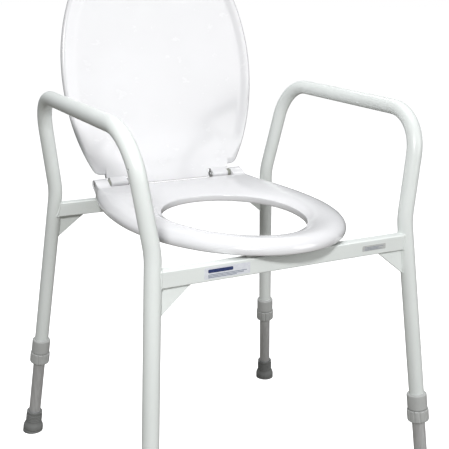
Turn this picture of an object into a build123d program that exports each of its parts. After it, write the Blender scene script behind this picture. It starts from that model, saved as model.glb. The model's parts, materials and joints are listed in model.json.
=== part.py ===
"""Over-toilet commode chair: welded tube frame, hinged seat and lid, and four height-adjustable legs.

Millimetres, +Z up, front towards -Y. The origin is on the floor, midway between the four feet.
"""
from build123d import *
import math
import os

os.makedirs("parts", exist_ok=True)

# ---- Side frames: one bent tube each, from front foot over the armrest to rear foot ----
TUBE_R = 12.7                      # 1 inch tube
TUBE_WALL = 1.5
KNEE_X = 224.8                     # where the leg changes slope, from the middle
KNEE_Y = 220.0
KNEE_Z = 503.0
FRONT_SPLAY = (0.075, 0.118)       # outwards and forwards, for each millimetre down
REAR_SPLAY = (0.097, 0.122)
ARM_FRONT = (251.7, -207.6, 675.6)  # where the upright's and armrest's centre lines cross
ARM_REAR = (253.8, 192.7, 683.9)
KNEE_BEND_R = 120.0
ARM_BEND_R = 75.0
FIXED_LEG = 326.0                  # fixed tube below the knee, along the leg
VENT_R = 2.0                       # drain hole in each upright's outer wall
VENT_Z = 625.0

# ---- Rails and gussets ----
RAIL_HEIGHT = 25.4
RAIL_DEPTH = 19.05                 # 1 x 3/4 inch tube, on edge
RAIL_WALL = 1.5
RAIL_CORNER_R = 2.0
RAIL_Y = 222.5                     # both rails, from the middle
RAIL_Z = 467.6
RAIL_TOP = RAIL_Z + RAIL_HEIGHT / 2
RAIL_BOTTOM = RAIL_Z - RAIL_HEIGHT / 2
GUSSET_ALONG_RAIL = 48.0           # from the leg's surface
GUSSET_DOWN_LEG = 36.0
GUSSET_THICK = 3.0

# ---- Height-adjustable legs: distances are along the leg, down from the knee ----
RUNNING_GAP = 0.1
EXTENSION_R = TUBE_R - TUBE_WALL - RUNNING_GAP
EXTENSION_WALL = 1.5
EXTENSION_TOP = 175.0
BUSH_FLANGE = 2.5
BUSH_PLUG = 14.0
COLLAR_TOP = 303.0
COLLAR_R = 17.0
SPIGOT_START = 331.0
SPIGOT_END = 347.0
SPIGOT_R = 14.6
COLLET_START = 335.0
COLLET_R = 13.0
COLLET_SLIT = 2.0
RING_START = 331.5
RING_END = 353.0
RING_R = 18.5
RING_LIP_R = 11.7
RING_ROOF_GAP = 0.6                # inside, below the spigot's end
RING_GRIPS = 12
RING_GRIP_R = 2.6
FERRULE_HEIGHT = 46.0
FERRULE_SOLE = 11.0
FERRULE_TOP_R = 15.0
FERRULE_WAIST_R = 15.8
FERRULE_WAIST = 22.0               # below the ferrule's top
FERRULE_FOOT_R = 19.5
WASHER_THICK = 2.0

# ---- Seat, lid and hinge ----
HINGE_Y = 207.0
HINGE_Z = 510.0
SEAT_BOTTOM = 486.0
SEAT_THICK = 23.0
SEAT_HALF_WIDTH = 187.5
SEAT_FRONT = 262.5                 # from the widest line to the front edge
SEAT_REAR = 356.0                  # half length of the ellipse behind the widest line
SEAT_REAR_EDGE = 195.0             # straight edge that cuts the rear ellipse
SEAT_CORNER_R = 12.0
SEAT_EDGE_R = 9.0
OPENING_Y = -38.0                  # its widest line
OPENING_HALF_WIDTH = 112.0
OPENING_FRONT = 152.0              # from the widest line
OPENING_REAR = 131.0
OPENING_DROP = 12.0                # the top slopes down to the opening by this much
OPENING_SLOPE = 45.0               # over this width
SEAT_WALL = 12.0
SEAT_HOLLOW = 6.5                  # depth of the ribbed hollow in the underside
SEAT_RIBS = 10
SEAT_RIB = 4.0
LID_LEAN = 10.0                    # past vertical when open
LID_HALF_WIDTH = 196.0
LID_FRONT = 271.0
LID_REAR = 287.0
LID_START = 17.0                   # the tray's rear edge, from the hinge
LID_GAP = 1.5                      # rim above the hinge's plane
LID_DEPTH = 16.5
LID_WALL = 4.0
LID_EDGE_R = 7.0
LID_CORNER_R = 14.0
SKIRT_HALF_WIDTH = 127.0           # the tray's rear wall goes on down between the seat's ears
SKIRT_START = 12.0
FLAP_HALF_WIDTH = 85.0             # and further between the pins
FLAP_START = -4.0
FLAP_THICK = 4.5
PIN_R = 4.0
PIN_HEAD_R = 6.2
PIN_HEAD = 3.0
PIN_HEAD_ROUND = 1.4
PIN_CLEARANCE = 0.08
EAR_R = 10.0
EAR_X = (130.0, 156.0)             # seat's ears, from the middle
EAR_RECESS_R = 7.0                 # round recess in the ear's end, for the pin's head
EAR_RECESS = 5.0
EAR_NECK = 14.0                    # where the ear's barrel runs into its arm, from the hinge
EAR_ARM = 40.0                     # where the arm ends inside the seat
EAR_NECK_DROP = 3.0                # below the seat's crest
EAR_ARM_DROP = 6.0
POST_R = 8.0
POST_X = (124.3, 129.7)            # bracket's upright
KNUCKLE_R = 8.5
KNUCKLE_X = (90.0, 124.0)          # lid's knuckles
RETAINER_X = (87.9, 89.6)
RETAINER_R = 7.5
PIN_END_X = 86.0
BRACKET_X = (114.0, 143.0)         # bracket's saddle
BRACKET_THICK = 3.0
BRACKET_EDGE_R = 2.5
BRACKET_SADDLE = 11.0
BRACKET_OVERLAP = 1.0              # upright's foot, sunk into the saddle
BRACKET_FRONT_DROP = 17.0
BRACKET_BACK_DROP = 10.0
SCREW_R = 2.0
SCREW_HEAD_R = 3.8
SCREW_HEAD = 2.4
SCREW_HEAD_ROUND = 1.2
SCREW_X = (120.0, 137.0)
SCREW_Z = 471.0
SCREW_LENGTH = 8.0
SEAT_PAD_X = 62.0
SEAT_PAD_LENGTH = 30.0
SEAT_PAD_WIDTH = 11.0
REST_GAP = 0.3
LID_PAD_X = 96.0
LID_PAD_FROM_HINGE = 415.0
LID_PAD_R = 7.0
LID_PAD_PROUD = 0.7                # beyond the hinge's plane

# ---- Stickers on the front rail ----
LABEL_X = -112.0
LABEL_LENGTH = 76.0
LABEL_HEIGHT = 17.0
END_LABEL_X = 155.0
END_LABEL_LENGTH = 46.0
END_LABEL_HEIGHT = 9.0
LABEL_THICK = 0.25
LABEL_CORNER_R = 1.5

FROM_BASE = (Align.CENTER, Align.CENTER, Align.MIN)
SIDES = {"left": -1, "right": 1}
CORNERS = {
    "front_left": (-1, -1),
    "front_right": (1, -1),
    "rear_left": (-1, 1),
    "rear_right": (1, 1),
}


def save(part, name):
    """Label a finished piece and write it as its own file."""
    part.label = name
    export_step(part, f"parts/{name}.step")


def leg_plane(side, end):
    """Plane at a knee whose normal runs down the leg."""
    splay, rake = FRONT_SPLAY if end < 0 else REAR_SPLAY
    knee = (side * KNEE_X, end * KNEE_Y, KNEE_Z)
    return Plane(origin=knee, x_dir=(1, 0, 0), z_dir=(side * splay, end * rake, -1))


def along(leg, distance):
    """Point on a leg's centre line, so far below its knee."""
    return leg.from_local_coords((0, 0, distance))


def floor_distance(leg):
    """Distance along a leg from its knee to the floor."""
    return -KNEE_Z / leg.z_dir.Z


def turned(leg, corners):
    """Solid of revolution about a leg from (radius, distance, rounding) corners."""
    with BuildPart() as piece:
        with BuildSketch(Plane(origin=leg.origin, x_dir=leg.x_dir, z_dir=-leg.y_dir)):
            with BuildLine():
                FilletPolyline(
                    [(radius, distance) for radius, distance, _ in corners],
                    radius=[rounding for _, _, rounding in corners],
                    close=True,
                )
            make_face()
        revolve(axis=Axis(leg.origin, leg.z_dir))
    return piece.part


# ---------------------------------------------------------------- welded frame
def side_frame(side):
    """One continuous bent tube: front leg, upright, armrest, upright and rear leg."""
    front_leg, rear_leg = leg_plane(side, -1), leg_plane(side, 1)
    corners = [
        along(front_leg, FIXED_LEG),
        front_leg.origin,
        (side * ARM_FRONT[0], *ARM_FRONT[1:]),
        (side * ARM_REAR[0], *ARM_REAR[1:]),
        rear_leg.origin,
        along(rear_leg, FIXED_LEG),
    ]
    with BuildPart() as tube:
        with BuildLine() as path:
            FilletPolyline(corners, radius=[KNEE_BEND_R, ARM_BEND_R, ARM_BEND_R, KNEE_BEND_R])
        with BuildSketch(Plane(origin=path.line @ 0, z_dir=path.line % 0)):
            Circle(TUBE_R)
            Circle(TUBE_R - TUBE_WALL, mode=Mode.SUBTRACT)
        sweep()
        for end, corner in ((-1, ARM_FRONT), (1, ARM_REAR)):
            rise = (VENT_Z - KNEE_Z) / (corner[2] - KNEE_Z)
            vent = (
                side * (KNEE_X + (corner[0] - KNEE_X) * rise),
                end * KNEE_Y + (corner[1] - end * KNEE_Y) * rise,
                VENT_Z,
            )
            with Locations(Plane(origin=vent, z_dir=(side, 0, 0))):
                Cylinder(VENT_R, 2 * TUBE_R, align=FROM_BASE, mode=Mode.SUBTRACT)
    return tube.part


def cut_legs(end):
    """Cut the space of the two legs at one end out of the piece being built."""
    for side in SIDES.values():
        with Locations(leg_plane(side, end)):
            Cylinder(TUBE_R, FIXED_LEG, mode=Mode.SUBTRACT)


def rail(end):
    """Rectangular tube between the side frames, coped to their legs."""
    with BuildPart() as bar:
        with BuildSketch(Plane(origin=(0, end * RAIL_Y, RAIL_Z), x_dir=(0, 1, 0), z_dir=(1, 0, 0))):
            RectangleRounded(RAIL_DEPTH, RAIL_HEIGHT, RAIL_CORNER_R)
            RectangleRounded(
                RAIL_DEPTH - 2 * RAIL_WALL, RAIL_HEIGHT - 2 * RAIL_WALL, RAIL_CORNER_R / 2, mode=Mode.SUBTRACT
            )
        extrude(amount=KNEE_X, both=True)
        cut_legs(end)
        if end > 0:
            with Locations([screw_plane(side, x) for side in SIDES.values() for x in SCREW_X]):
                Cylinder(SCREW_R, 2 * SCREW_LENGTH, mode=Mode.SUBTRACT)
    return bar.part


def gusset(side, end):
    """Triangular plate under a rail's end, lying along the slope of the leg."""
    leg = leg_plane(side, end)
    rake = Vector(0, leg.z_dir.Y, leg.z_dir.Z).normalized()
    corner = along(leg, (KNEE_Z - RAIL_BOTTOM) / -leg.z_dir.Z)
    face = Plane(origin=corner, x_dir=(1, 0, 0), z_dir=Vector(1, 0, 0).cross(rake))
    inner = -side * (TUBE_R + GUSSET_ALONG_RAIL)
    lower = TUBE_R + GUSSET_DOWN_LEG
    slope = lower / abs(inner)
    with BuildPart() as plate:
        with BuildSketch(face):
            with BuildLine():
                Polyline(
                    (0, -GUSSET_THICK),
                    (inner + inner / abs(inner) * GUSSET_THICK / slope, -GUSSET_THICK),
                    (0, lower),
                    close=True,
                )
            make_face()
        extrude(amount=GUSSET_THICK / 2, both=True)
        split(bisect_by=Plane.XY.offset(RAIL_BOTTOM), keep=Keep.BOTTOM)
        cut_legs(end)
    return plate.part


# ---------------------------------------------------------------- legs
def collar(leg):
    """Plastic collar on the fixed tube's end, with the spigot that carries the lock ring."""
    bore = EXTENSION_R + RUNNING_GAP
    return turned(leg, [
        (TUBE_R, COLLAR_TOP, 0),
        (COLLAR_R, COLLAR_TOP, 3.5),
        (COLLAR_R, SPIGOT_START, 2.0),
        (SPIGOT_R, SPIGOT_START, 0),
        (SPIGOT_R, SPIGOT_END, 0),
        (COLLET_R, SPIGOT_END, 0),
        (COLLET_R, COLLET_START, 0),
        (bore, COLLET_START, 0),
        (bore, FIXED_LEG, 0),
        (TUBE_R, FIXED_LEG, 0),
    ])


def collet(leg):
    """Split sleeve that the lock ring squeezes on the sliding tube."""
    bore = EXTENSION_R + RUNNING_GAP
    with BuildPart() as sleeve:
        add(turned(leg, [
            (bore, COLLET_START, 0),
            (COLLET_R, COLLET_START, 0),
            (COLLET_R, SPIGOT_END, 0.6),
            (bore, SPIGOT_END, 0),
        ]))
        with Locations(Plane(origin=along(leg, SPIGOT_END), x_dir=leg.x_dir, z_dir=leg.z_dir)):
            Box(2 * COLLET_R, COLLET_SLIT, 2 * COLLET_SLIT + COLLET_R, mode=Mode.SUBTRACT)
    return sleeve.part


def lock_ring(leg):
    """Ring that screws on the collar's spigot, with scalloped grips."""
    with BuildPart() as ring:
        add(turned(leg, [
            (SPIGOT_R + RUNNING_GAP, RING_START, 0),
            (RING_R, RING_START, 2.0),
            (RING_R, RING_END, 3.0),
            (RING_LIP_R, RING_END, 0.8),
            (RING_LIP_R, SPIGOT_END + RING_ROOF_GAP, 0),
            (SPIGOT_R + RUNNING_GAP, SPIGOT_END + RING_ROOF_GAP, 0),
        ]))
        middle = along(leg, (RING_START + RING_END) / 2)
        with Locations(Plane(origin=middle, x_dir=leg.x_dir, z_dir=leg.z_dir)):
            with PolarLocations(RING_R + RING_GRIP_R / 2, RING_GRIPS):
                Cylinder(RING_GRIP_R, RING_END, mode=Mode.SUBTRACT)
    return ring.part


def extension(leg):
    """Tube that slides inside the fixed leg."""
    end = floor_distance(leg) - FERRULE_SOLE - WASHER_THICK
    bore = EXTENSION_R - EXTENSION_WALL
    return turned(leg, [
        (bore, EXTENSION_TOP, 0),
        (EXTENSION_R, EXTENSION_TOP, 0),
        (EXTENSION_R, end, 0),
        (bore, end, 0),
    ])


def guide_bush(leg):
    """Flanged plug in the sliding tube's upper end."""
    bore = EXTENSION_R - EXTENSION_WALL
    return turned(leg, [
        (0, EXTENSION_TOP - BUSH_FLANGE, 0),
        (EXTENSION_R, EXTENSION_TOP - BUSH_FLANGE, 0.8),
        (EXTENSION_R, EXTENSION_TOP, 0),
        (bore, EXTENSION_TOP, 0),
        (bore, EXTENSION_TOP + BUSH_PLUG, 1.5),
        (0, EXTENSION_TOP + BUSH_PLUG, 0),
    ])


def ferrule(leg):
    """Rubber foot, cut flat where it stands on the floor."""
    floor = floor_distance(leg)
    top = floor - FERRULE_HEIGHT
    below = floor + FERRULE_FOOT_R / 4
    with BuildPart() as foot:
        add(turned(leg, [
            (EXTENSION_R, top, 0),
            (FERRULE_TOP_R, top, 1.5),
            (FERRULE_WAIST_R, top + FERRULE_WAIST, 6.0),
            (FERRULE_FOOT_R, floor - FERRULE_SOLE, 4.0),
            (FERRULE_FOOT_R, below, 0),
            (0, below, 0),
            (0, floor - FERRULE_SOLE, 0),
            (EXTENSION_R, floor - FERRULE_SOLE, 0),
        ]))
        split(bisect_by=Plane.XY, keep=Keep.TOP)
    return foot.part


def washer(leg):
    """Steel disc that keeps the tube from cutting through the rubber."""
    base = floor_distance(leg) - FERRULE_SOLE
    return turned(leg, [
        (0, base - WASHER_THICK, 0),
        (EXTENSION_R, base - WASHER_THICK, 0),
        (EXTENSION_R, base, 0),
        (0, base, 0),
    ])


# ---------------------------------------------------------------- seat
def oval(half_width, front, rear, rear_edge, corner_r):
    """Two half ellipses joined at the widest line, cut straight behind and rounded there."""
    cut = math.degrees(math.asin(rear_edge / rear))
    with BuildSketch() as outline:
        with BuildLine():
            EllipticalCenterArc((0, 0), half_width, front, 180, arc_size=180)
            right = EllipticalCenterArc((0, 0), half_width, rear, 0, arc_size=cut)
            left = EllipticalCenterArc((0, 0), half_width, rear, 180 - cut, arc_size=cut)
            Line(right @ 1, left @ 0)
        make_face()
        fillet(outline.vertices().group_by(Axis.Y)[-1], corner_r)
    return outline.sketch


def opening_oval(spread=0.0):
    """Egg-shaped outline of the opening, let out by a spread, about its widest line."""
    with BuildSketch() as outline:
        with BuildLine():
            half_width = OPENING_HALF_WIDTH + spread
            EllipticalCenterArc((0, OPENING_Y), half_width, OPENING_FRONT + spread, 180, arc_size=180)
            EllipticalCenterArc((0, OPENING_Y), half_width, OPENING_REAR + spread, 0, arc_size=180)
        make_face()
    return outline.sketch


def seat_oval(inset):
    """The seat's outline, drawn in from the edge all round."""
    return oval(
        SEAT_HALF_WIDTH - inset, SEAT_FRONT - inset, SEAT_REAR - inset, SEAT_REAR_EDGE - inset, SEAT_CORNER_R
    )


def across(x, side):
    """YZ plane at a distance from the middle, facing away from it."""
    return Plane(origin=(side * x, 0, 0), x_dir=(0, 1, 0), z_dir=(side, 0, 0))


def hinge_line(side, x=0.0):
    """Plane on the hinge's axis at a distance from the middle, facing away from it."""
    return Plane(origin=(side * x, HINGE_Y, HINGE_Z), z_dir=(side, 0, 0))


def yz(points, side):
    """Points given as (y, z) in the coordinates of an across() plane."""
    return [(y, side * z) for y, z in points]


def seat():
    """Closed ring with a crowned top, a hollow ribbed underside and two hinge ears."""
    crest = SEAT_BOTTOM + SEAT_THICK
    with BuildPart() as ring:
        with BuildSketch(Plane.XY.offset(SEAT_BOTTOM)):
            add(seat_oval(0))
        extrude(amount=SEAT_THICK)
        fillet(ring.faces().sort_by(Axis.Z)[-1].edges(), SEAT_EDGE_R)
        for height, spread in ((crest - OPENING_DROP, 0.0), (crest, OPENING_SLOPE)):
            with BuildSketch(Plane.XY.offset(height)):
                add(opening_oval(spread))
        loft(mode=Mode.SUBTRACT)
        with BuildSketch(Plane.XY.offset(SEAT_BOTTOM)):
            add(opening_oval())
        extrude(amount=SEAT_THICK, mode=Mode.SUBTRACT)
        for side in SIDES.values():
            with BuildSketch(across(EAR_X[0], side)):
                with BuildLine():
                    Polyline(yz([
                        (HINGE_Y, HINGE_Z + EAR_R),
                        (HINGE_Y - EAR_NECK, crest - EAR_NECK_DROP),
                        (HINGE_Y - EAR_ARM, crest - EAR_ARM_DROP),
                        (HINGE_Y - EAR_ARM, SEAT_BOTTOM),
                        (HINGE_Y - EAR_NECK, SEAT_BOTTOM),
                        (HINGE_Y, HINGE_Z - EAR_R),
                    ], side), close=True)
                make_face()
                with Locations((HINGE_Y, side * HINGE_Z)):
                    Circle(EAR_R)
            extrude(amount=EAR_X[1] - EAR_X[0])
            with Locations(hinge_line(side)):
                Cylinder(PIN_R + PIN_CLEARANCE, EAR_X[1], align=FROM_BASE, mode=Mode.SUBTRACT)
            with Locations(hinge_line(side, EAR_X[1] - EAR_RECESS)):
                Cylinder(EAR_RECESS_R, EAR_X[0], align=FROM_BASE, mode=Mode.SUBTRACT)
        with BuildSketch(Plane.XY.offset(SEAT_BOTTOM)):
            add(seat_oval(SEAT_WALL))
            add(opening_oval(SEAT_WALL), mode=Mode.SUBTRACT)
            with Locations((0, OPENING_Y)):
                with PolarLocations(0, SEAT_RIBS, start_angle=90 / SEAT_RIBS):
                    Rectangle(2 * SEAT_REAR, SEAT_RIB, mode=Mode.SUBTRACT)
            for side in SIDES.values():
                with Locations((side * SEAT_PAD_X, -RAIL_Y)):
                    SlotOverall(SEAT_PAD_LENGTH + SEAT_RIB, SEAT_PAD_WIDTH + SEAT_RIB, mode=Mode.SUBTRACT)
        extrude(amount=SEAT_HOLLOW, mode=Mode.SUBTRACT)
    return ring.part


def seat_buffers():
    """Rubber pads under the seat's front, over the front rail."""
    with BuildPart() as pads:
        with BuildSketch(Plane.XY.offset(RAIL_TOP + REST_GAP)):
            with Locations(*[(side * SEAT_PAD_X, -RAIL_Y) for side in SIDES.values()]):
                SlotOverall(SEAT_PAD_LENGTH, SEAT_PAD_WIDTH)
        extrude(amount=SEAT_BOTTOM - RAIL_TOP - REST_GAP)
    return pads.part


# ---------------------------------------------------------------- lid
LEAN = math.radians(LID_LEAN)
LID_PLANE = Plane(
    origin=(0, HINGE_Y, HINGE_Z), x_dir=(-1, 0, 0), z_dir=(0, math.cos(LEAN), -math.sin(LEAN))
)


def lid_oval(inset):
    """The lid's outline on its own plane: local Y is the distance from the hinge."""
    outline = oval(
        LID_HALF_WIDTH - inset, LID_FRONT - inset, LID_REAR - inset, HINGE_Y - LID_START - inset, LID_CORNER_R
    )
    return Pos(0, HINGE_Y) * outline.mirror(Plane.XZ)


def lid():
    """Shallow tray, rim towards the seat, whose rear wall runs down to the hinge between its ends."""
    wall_end = LID_START + LID_WALL
    wall_top = LID_GAP + LID_DEPTH - LID_EDGE_R
    with BuildPart() as tray:
        with BuildSketch(LID_PLANE.offset(LID_GAP)):
            add(lid_oval(0))
        extrude(amount=LID_DEPTH)
        fillet(tray.faces().sort_by(Axis(LID_PLANE.origin, LID_PLANE.z_dir))[-1].edges(), LID_EDGE_R)
        with BuildSketch(LID_PLANE.offset(LID_GAP)):
            add(lid_oval(LID_WALL))
        extrude(amount=LID_DEPTH - LID_WALL, mode=Mode.SUBTRACT)
        for half_width, start, thick in (
            (SKIRT_HALF_WIDTH, SKIRT_START, wall_top - LID_GAP),
            (FLAP_HALF_WIDTH, FLAP_START, FLAP_THICK),
        ):
            with BuildSketch(LID_PLANE.offset(LID_GAP)):
                with Locations((0, (start + wall_end) / 2)):
                    Rectangle(2 * half_width, wall_end - start)
            extrude(amount=thick)
    return tray.part


def lid_knuckle(side):
    """Barrel on the pin with a web up to the lid's rear wall."""
    wall_top = LID_GAP + LID_DEPTH - LID_EDGE_R
    start = LID_PLANE.from_local_coords((-side * KNUCKLE_X[0], 0, 0))
    with BuildPart() as knuckle:
        with BuildSketch(Plane(origin=start, x_dir=LID_PLANE.y_dir, z_dir=(side, 0, 0))) as web:
            up = LID_PLANE.z_dir.dot(web.workplanes[0].y_dir)
            with BuildLine():
                Polyline(
                    (0, 0), (SKIRT_START, up * LID_GAP), (SKIRT_START, up * wall_top), (0, up * KNUCKLE_R),
                    close=True,
                )
            make_face()
            Circle(KNUCKLE_R)
        extrude(amount=KNUCKLE_X[1] - KNUCKLE_X[0])
        with Locations(hinge_line(side)):
            Cylinder(PIN_R + PIN_CLEARANCE, EAR_X[1], align=FROM_BASE, mode=Mode.SUBTRACT)
    return knuckle.part


def lid_buffers():
    """Rubber pads inside the lid that meet the seat's crest."""
    with BuildPart() as pads:
        with BuildSketch(LID_PLANE.offset(LID_GAP + LID_DEPTH - LID_WALL)):
            with Locations(*[(side * LID_PAD_X, LID_PAD_FROM_HINGE) for side in SIDES.values()]):
                Circle(LID_PAD_R)
        extrude(amount=-(LID_GAP + LID_DEPTH - LID_WALL + LID_PAD_PROUD))
    return pads.part


# ---------------------------------------------------------------- hinge hardware
def hinge_bracket(side):
    """Saddle over the rear rail with an upright that holds the pin."""
    front = RAIL_Y - RAIL_DEPTH / 2
    back = RAIL_Y + RAIL_DEPTH / 2
    with BuildPart() as bracket:
        with BuildSketch(across(BRACKET_X[0], side)):
            with BuildLine():
                Polyline(yz([
                    (front - BRACKET_THICK, RAIL_TOP + BRACKET_SADDLE),
                    (back + BRACKET_THICK, RAIL_TOP + BRACKET_SADDLE),
                    (back + BRACKET_THICK, RAIL_TOP - BRACKET_BACK_DROP),
                    (back, RAIL_TOP - BRACKET_BACK_DROP),
                    (back, RAIL_TOP),
                    (front, RAIL_TOP),
                    (front, RAIL_TOP - BRACKET_FRONT_DROP),
                    (front - BRACKET_THICK, RAIL_TOP - BRACKET_FRONT_DROP),
                ], side), close=True)
            make_face()
        extrude(amount=BRACKET_X[1] - BRACKET_X[0])
        saddle = bracket.faces().sort_by(Axis.Z)[-1]
        fillet(saddle.edges().filter_by(Axis.X), BRACKET_EDGE_R)
        with BuildSketch(across(POST_X[0], side)):
            with BuildLine():
                Polyline(yz([
                    (front - BRACKET_THICK, RAIL_TOP + BRACKET_OVERLAP),
                    (HINGE_Y - POST_R, HINGE_Z),
                    (HINGE_Y + POST_R, HINGE_Z),
                    (back, RAIL_TOP + BRACKET_SADDLE),
                    (back, RAIL_TOP + BRACKET_OVERLAP),
                ], side), close=True)
            make_face()
            with Locations((HINGE_Y, side * HINGE_Z)):
                Circle(POST_R)
        extrude(amount=POST_X[1] - POST_X[0])
        with Locations(hinge_line(side)):
            Cylinder(PIN_R, EAR_X[1], align=FROM_BASE, mode=Mode.SUBTRACT)
        with Locations([screw_plane(side, x) for x in SCREW_X]):
            Cylinder(SCREW_R, 2 * SCREW_LENGTH, mode=Mode.SUBTRACT)
    return bracket.part


def screw_plane(side, x):
    """Seat of a bracket screw's head, facing forwards."""
    y = RAIL_Y - RAIL_DEPTH / 2 - BRACKET_THICK
    return Plane(origin=(side * x, y, SCREW_Z), z_dir=(0, -1, 0))


def hinge_screws():
    """Pan-head screws through the brackets into the rear rail."""
    with BuildPart() as screws:
        for side in SIDES.values():
            for x in SCREW_X:
                seat_of_head = screw_plane(side, x)
                with BuildSketch(seat_of_head):
                    Circle(SCREW_HEAD_R)
                head = extrude(amount=SCREW_HEAD)
                fillet(head.edges().group_by(Axis.Y)[0], SCREW_HEAD_ROUND)
                with BuildSketch(seat_of_head):
                    Circle(SCREW_R)
                extrude(amount=-SCREW_LENGTH)
    return screws.part


def hinge_pin(side):
    """Steel pin through ear, bracket and knuckle, its head in the ear's recess."""
    head_x = EAR_X[1] - EAR_RECESS + REST_GAP
    with BuildPart() as pin:
        with BuildSketch(hinge_line(side, PIN_END_X)):
            Circle(PIN_R)
        extrude(amount=head_x - PIN_END_X)
        with BuildSketch(hinge_line(side, head_x)):
            Circle(PIN_HEAD_R)
        extrude(amount=PIN_HEAD)
        outer_edge = pin.edges().filter_by(GeomType.CIRCLE).sort_by(Axis.X)[-1 if side > 0 else 0]
        fillet(outer_edge, PIN_HEAD_ROUND)
    return pin.part


def hinge_retainers():
    """Push-on rings on the pins' inner ends."""
    with BuildPart() as rings:
        for side in SIDES.values():
            with BuildSketch(hinge_line(side, RETAINER_X[0])):
                Circle(RETAINER_R)
                Circle(PIN_R, mode=Mode.SUBTRACT)
            extrude(amount=RETAINER_X[1] - RETAINER_X[0])
    return rings.part


def label(x, length, height):
    """Thin sticker on the front rail's face."""
    face = Plane(origin=(x, -RAIL_Y - RAIL_DEPTH / 2, RAIL_Z), x_dir=(1, 0, 0), z_dir=(0, -1, 0))
    with BuildPart() as sticker:
        with BuildSketch(face):
            RectangleRounded(length, height, LABEL_CORNER_R)
        extrude(amount=LABEL_THICK)
    return sticker.part


# ---------------------------------------------------------------- write every piece
for side_name, side in SIDES.items():
    save(side_frame(side), f"{side_name}_side_frame")
    save(hinge_bracket(side), f"hinge_bracket_{side_name}")
    save(hinge_pin(side), f"hinge_pin_{side_name}")
    save(lid_knuckle(side), f"lid_knuckle_{side_name}")

for end_name, end in (("front", -1), ("rear", 1)):
    save(rail(end), f"{end_name}_rail")

for corner_name, (side, end) in CORNERS.items():
    leg = leg_plane(side, end)
    save(gusset(side, end), f"gusset_{corner_name}")
    save(collar(leg), f"leg_collar_{corner_name}")
    save(collet(leg), f"leg_collet_{corner_name}")
    save(lock_ring(leg), f"leg_lock_ring_{corner_name}")
    save(extension(leg), f"leg_extension_{corner_name}")
    save(guide_bush(leg), f"leg_guide_bush_{corner_name}")
    save(ferrule(leg), f"leg_ferrule_{corner_name}")
    save(washer(leg), f"ferrule_washer_{corner_name}")

save(seat(), "seat")
save(seat_buffers(), "seat_buffers")
save(lid(), "lid")
save(lid_buffers(), "lid_buffers")
save(hinge_screws(), "hinge_screws")
save(hinge_retainers(), "hinge_retainers")
save(label(LABEL_X, LABEL_LENGTH, LABEL_HEIGHT), "rail_label")
save(label(END_LABEL_X, END_LABEL_LENGTH, END_LABEL_HEIGHT), "rail_end_label")
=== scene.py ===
"""Over-toilet commode chair: powder-coated tube frame, glossy seat and lid, rubber feet."""
import json
import math

import bmesh
import bpy
import numpy as np
from mathutils import Matrix, Vector


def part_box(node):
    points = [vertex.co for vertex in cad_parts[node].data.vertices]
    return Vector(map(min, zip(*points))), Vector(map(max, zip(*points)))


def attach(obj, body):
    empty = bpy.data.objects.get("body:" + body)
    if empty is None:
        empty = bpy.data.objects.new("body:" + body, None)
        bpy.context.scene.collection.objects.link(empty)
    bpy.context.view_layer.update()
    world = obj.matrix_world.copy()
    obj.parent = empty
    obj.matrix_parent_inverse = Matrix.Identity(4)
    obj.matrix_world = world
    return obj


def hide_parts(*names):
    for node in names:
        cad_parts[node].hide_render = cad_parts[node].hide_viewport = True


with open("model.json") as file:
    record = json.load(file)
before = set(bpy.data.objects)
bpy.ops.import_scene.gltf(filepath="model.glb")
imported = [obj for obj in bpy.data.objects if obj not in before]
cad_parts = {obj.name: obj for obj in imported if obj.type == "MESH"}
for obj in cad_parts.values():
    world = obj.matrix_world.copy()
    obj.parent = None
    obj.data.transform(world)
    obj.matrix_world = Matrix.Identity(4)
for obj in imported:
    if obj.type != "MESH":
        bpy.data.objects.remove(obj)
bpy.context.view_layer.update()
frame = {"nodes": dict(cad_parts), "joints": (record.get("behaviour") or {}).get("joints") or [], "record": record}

MM = 0.001
SIDES = {"left": -1, "right": 1}
CORNERS = {
    "front_left": (-1, -1),
    "front_right": (1, -1),
    "rear_left": (-1, 1),
    "rear_right": (1, 1),
}
JOINTS = {joint["name"]: joint for joint in frame["joints"]}
HINGE = Vector(JOINTS["lid_hinge"]["pos_m"])
LID_SWING = math.radians(-JOINTS["lid_hinge"]["range_deg"][0])   # from closed to open

# Lengths are in metres. The seat and lid outlines are two half ellipses, cut straight behind.
SEAT_LOW, SEAT_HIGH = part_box("seat")
SEAT_REAR = 0.356            # how far the rear half ellipse would reach
SEAT_REAR_EDGE = 0.195       # where it is cut
SEAT_CORNER_R = 0.014
SEAT_THICK = 0.023
SEAT_LIP = 0.0120            # height of the opening's edge, where the top starts to rise
SEAT_EDGE_LOW = 0.006        # height where the outer rounding ends
SEAT_HOLLOW = 0.0065         # depth of the hollow underside
SEAT_WALL = 0.012            # width of the foot that runs round the hollow
SEAT_ROUNDING = 0.022        # width of the outer rounding at the front
SEAT_SIDE_ROUNDING = 0.014   # added to it at the sides
SEAT_REAR_ROUNDING = 0.010
SEAT_REAR_ZONE = (0.150, 0.185)   # the rounding narrows between these depths
SEAT_RIBS = 10
OPENING_Y = -0.038
OPENING_HALF_WIDTH = 0.115
OPENING_FRONT = 0.156
OPENING_REAR = 0.131
EAR_X = (0.130, 0.156)
EAR_R = 0.010
EAR_RECESS_R = 0.007
EAR_RECESS = 0.005

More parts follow.
